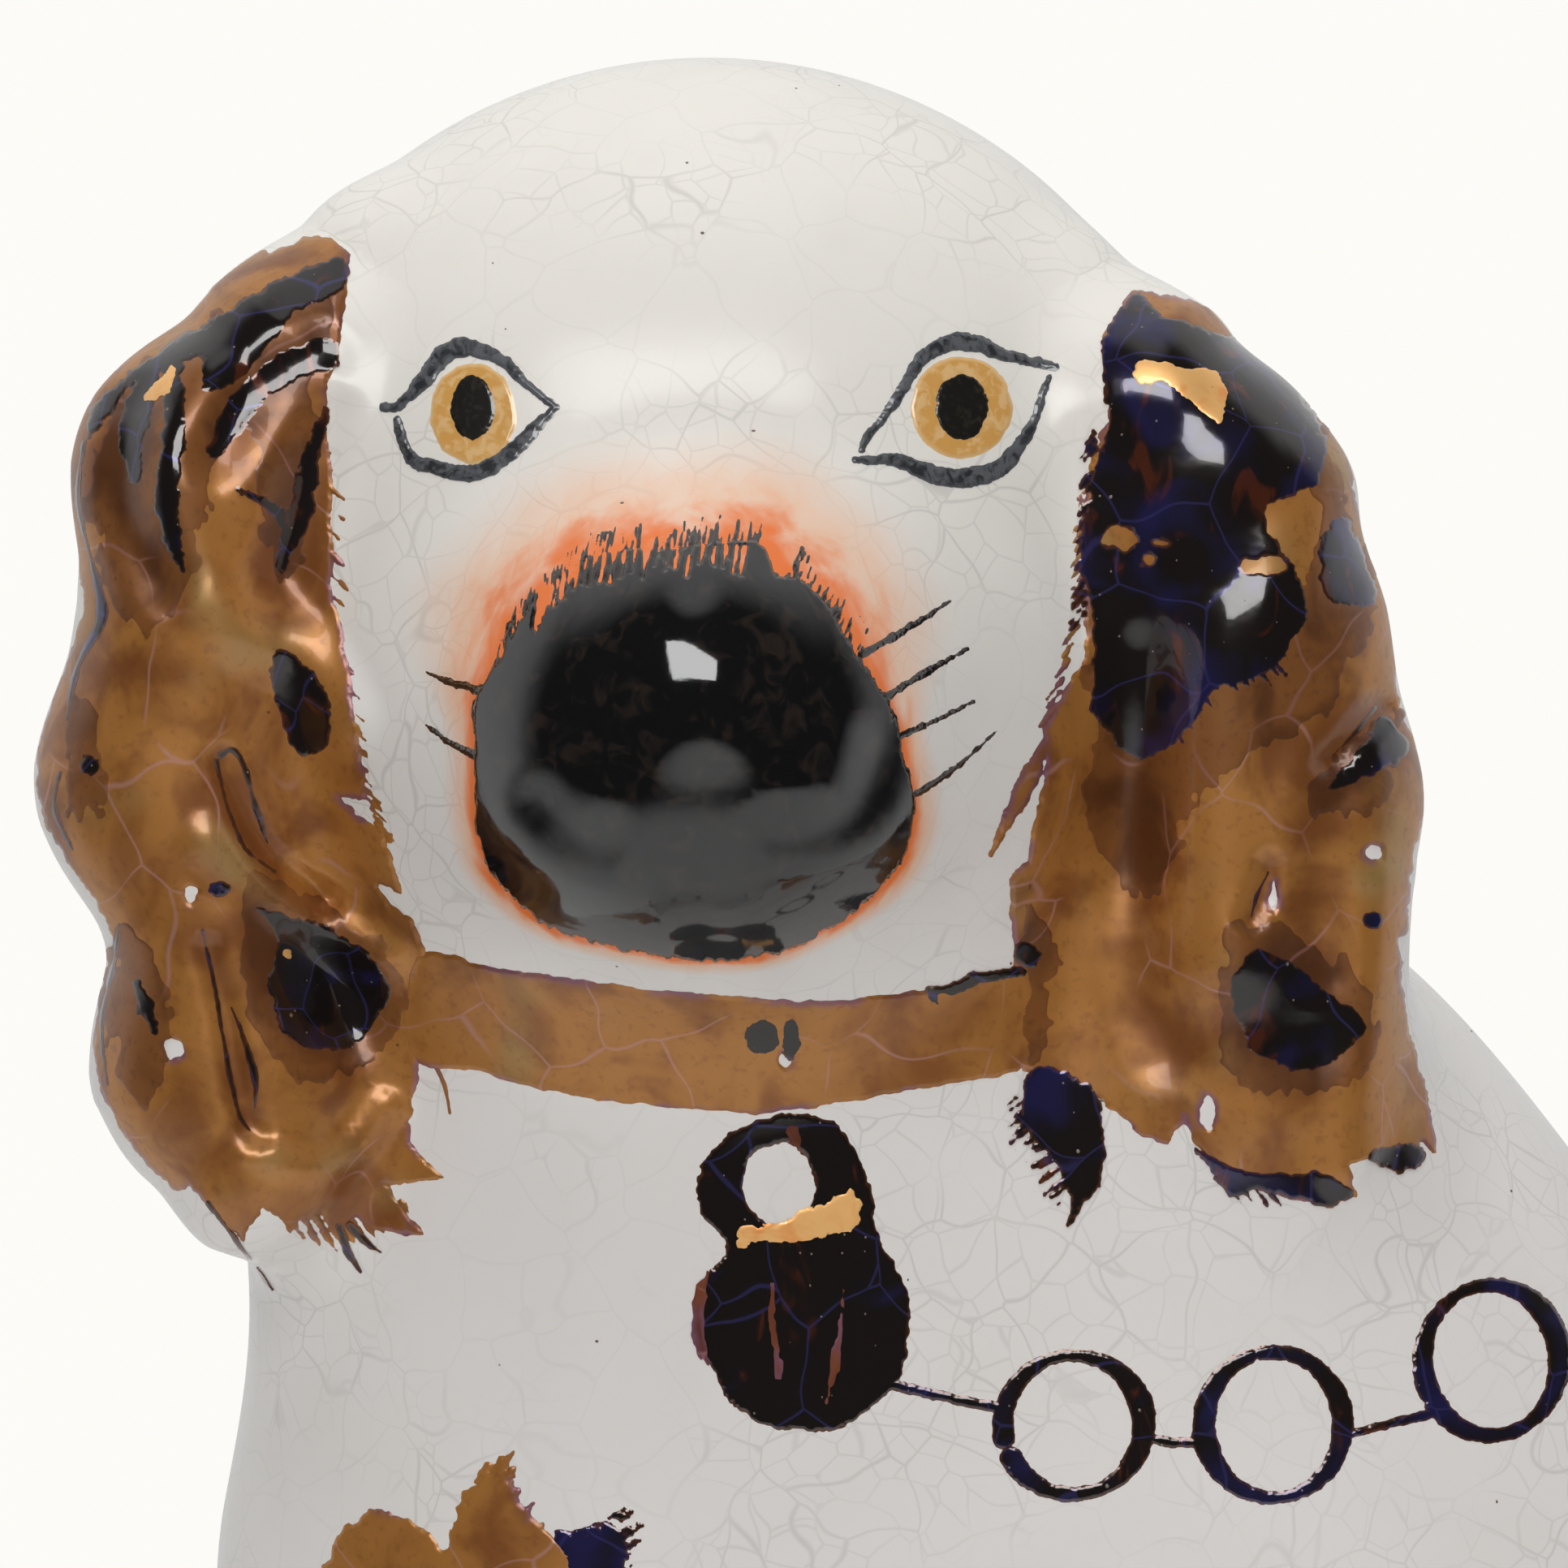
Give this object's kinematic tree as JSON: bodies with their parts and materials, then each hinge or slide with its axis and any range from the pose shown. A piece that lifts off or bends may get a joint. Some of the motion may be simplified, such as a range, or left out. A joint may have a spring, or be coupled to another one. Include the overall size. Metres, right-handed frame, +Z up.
{
  "type": "dog figurine",
  "caption": "Seated glazed earthenware spaniel with its head turned to the front, lustre ears, painted collar, padlock and chain, and a flat closed foot.",
  "frame": {"origin": "centre of the bounding box's underside, on the table plane the figure stands on", "axes": "+Z up through the crown; -Y towards the viewer, the way the face looks; +X towards the rump and tail, so the chest and paws are at -X"},
  "size_m": [0.1921, 0.0956, 0.254],
  "materials": {
    "white_glaze": "glossy lead glaze over white earthenware, finely crazed, warm on the dome and cooler below",
    "copper_lustre": "copper-gold lustre film over the glaze, mirror-like, mottled tan to rust with dark brown-black passages",
    "biscuit_clay": "unglazed fired earthenware, matt, slightly porous",
    "black_enamel": "thick glossy black overglaze enamel",
    "amber_enamel": "thin brushed amber overglaze enamel"
  },
  "bodies": {
    "root": {"front_half": "white_glaze", "back_half": "white_glaze", "base_slab": "biscuit_clay", "seam_roll": "biscuit_clay", "left_ear": "copper_lustre", "right_ear": "copper_lustre", "near_foreleg": "white_glaze", "far_foreleg": "white_glaze", "tail": "copper_lustre"}
  },
  "joints": []
}
